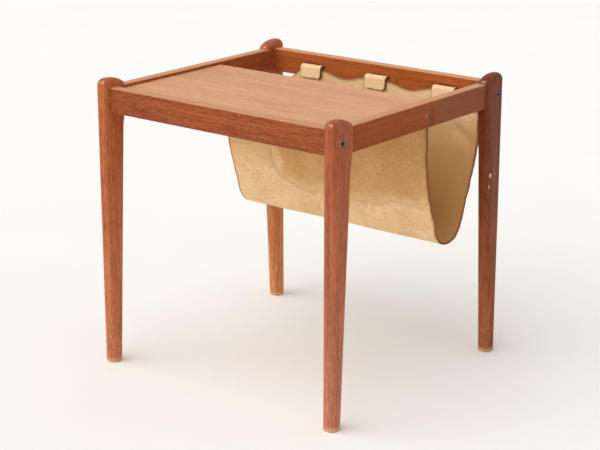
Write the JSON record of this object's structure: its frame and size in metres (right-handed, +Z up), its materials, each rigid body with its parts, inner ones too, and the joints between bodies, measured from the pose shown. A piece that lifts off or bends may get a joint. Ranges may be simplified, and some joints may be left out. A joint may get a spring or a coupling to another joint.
{
  "type": "magazine side table",
  "caption": "Low teak side table on tapered round-edged legs, with a half top and a hung suede sling behind it that holds magazines.",
  "frame": {"origin": "on the floor, under the middle of the table", "axes": "+X along the aprons to the right, +Y from the front apron to the sling, +Z up"},
  "size_m": [0.462, 0.432, 0.46],
  "materials": {
    "teak_frame": "oiled teak, satin",
    "teak_rail": "oiled teak, satin",
    "teak_veneer": "oiled teak veneer, satin",
    "teak_peg": "oiled teak, matt",
    "panel_core": "raw particle board",
    "beech": "raw beech",
    "suede": "brushed suede",
    "suede_tab": "brushed suede",
    "bolt_steel": "dull zinc",
    "screw_steel": "plain steel"
  },
  "bodies": {
    "root": {"leg_front_left": "teak_frame", "leg_front_right": "teak_frame", "leg_back_left": "teak_frame", "leg_back_right": "teak_frame", "side_rail_left": "teak_rail", "side_rail_right": "teak_rail", "front_apron": "teak_rail", "back_apron": "teak_rail", "cross_rail": "teak_rail", "panel_core": "panel_core", "panel_rear_lipping": "teak_rail", "panel_top_veneer": "teak_veneer", "panel_lower_veneer": "teak_veneer", "panel_cleat_front": "beech", "panel_cleat_left": "beech", "panel_cleat_right": "beech", "panel_screws": "screw_steel", "frame_bolts": "bolt_steel", "barrel_nuts": "bolt_steel", "apron_dowels": "beech", "cross_rail_dowels": "beech", "sling": "suede", "sling_tab_front_left": "suede_tab", "sling_peg_front_left": "teak_peg", "sling_tab_front_middle": "suede_tab", "sling_peg_front_middle": "teak_peg", "sling_tab_front_right": "suede_tab", "sling_peg_front_right": "teak_peg", "sling_tab_back_left": "suede_tab", "sling_peg_back_left": "teak_peg", "sling_tab_back_middle": "suede_tab", "sling_peg_back_middle": "teak_peg", "sling_tab_back_right": "suede_tab", "sling_peg_back_right": "teak_peg"}
  },
  "joints": []
}
